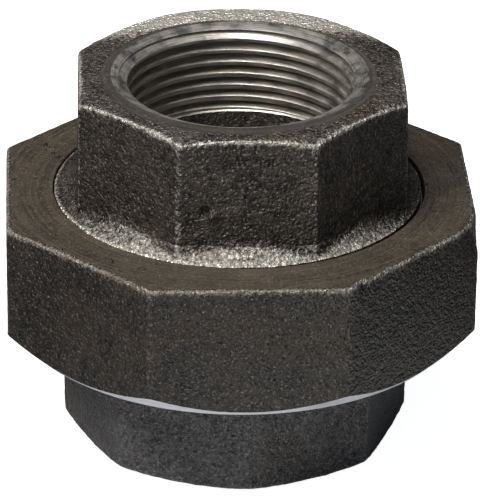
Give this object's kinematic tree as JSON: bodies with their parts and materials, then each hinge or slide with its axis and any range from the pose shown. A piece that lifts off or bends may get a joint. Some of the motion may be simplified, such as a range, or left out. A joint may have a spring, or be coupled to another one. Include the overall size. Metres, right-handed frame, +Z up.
{
  "type": "pipe union",
  "caption": "Octagonal malleable iron pipe union: two tapped pipe ends drawn onto a brass ball seat by a threaded union nut.",
  "frame": {"origin": "centre of the lower pipe end's face, at the bottom of the part", "axes": "+Z up along the pipe axis, from the threaded end to the swivel end; -Y faces one flat of the union nut"},
  "size_m": [0.0794, 0.0794, 0.065],
  "materials": {
    "threaded_end_iron": "rough sand-cast black malleable iron, blue-black and slightly oily, with machined pipe and union threads",
    "seat_brass": "turned brass, fine turning lines",
    "swivel_end_iron": "rough sand-cast black malleable iron, bright worn grain on its edges, oily brown tint, machined pipe thread",
    "nut_iron": "rough sand-cast black malleable iron with a smoother top face and a bright turned lower edge"
  },
  "bodies": {
    "threaded_end": {"threaded_end": "threaded_end_iron"},
    "seat_ring": {"seat_ring": "seat_brass"},
    "swivel_end": {"swivel_end": "swivel_end_iron"},
    "union_nut": {"union_nut": "nut_iron"}
  },
  "joints": [
    {"name": "lift", "type": "slide", "parent": "threaded_end", "child": "seat_ring", "axis": [0, 0, 1], "range_m": [0, 0.01144]},
    {"name": "swivel", "type": "hinge", "parent": "seat_ring", "child": "swivel_end", "pos_m": [0, 0, 0.0296], "axis": [0, 0, 1], "continuous": true},
    {"name": "nut_turn", "type": "hinge", "parent": "seat_ring", "child": "union_nut", "pos_m": [0, 0, 0.0323], "axis": [0, 0, 1], "range_deg": [0, 1620]}
  ],
  "couplings": [
    {"joint": "lift", "follows": "nut_turn", "m_per_rad": 0.00040425}
  ]
}
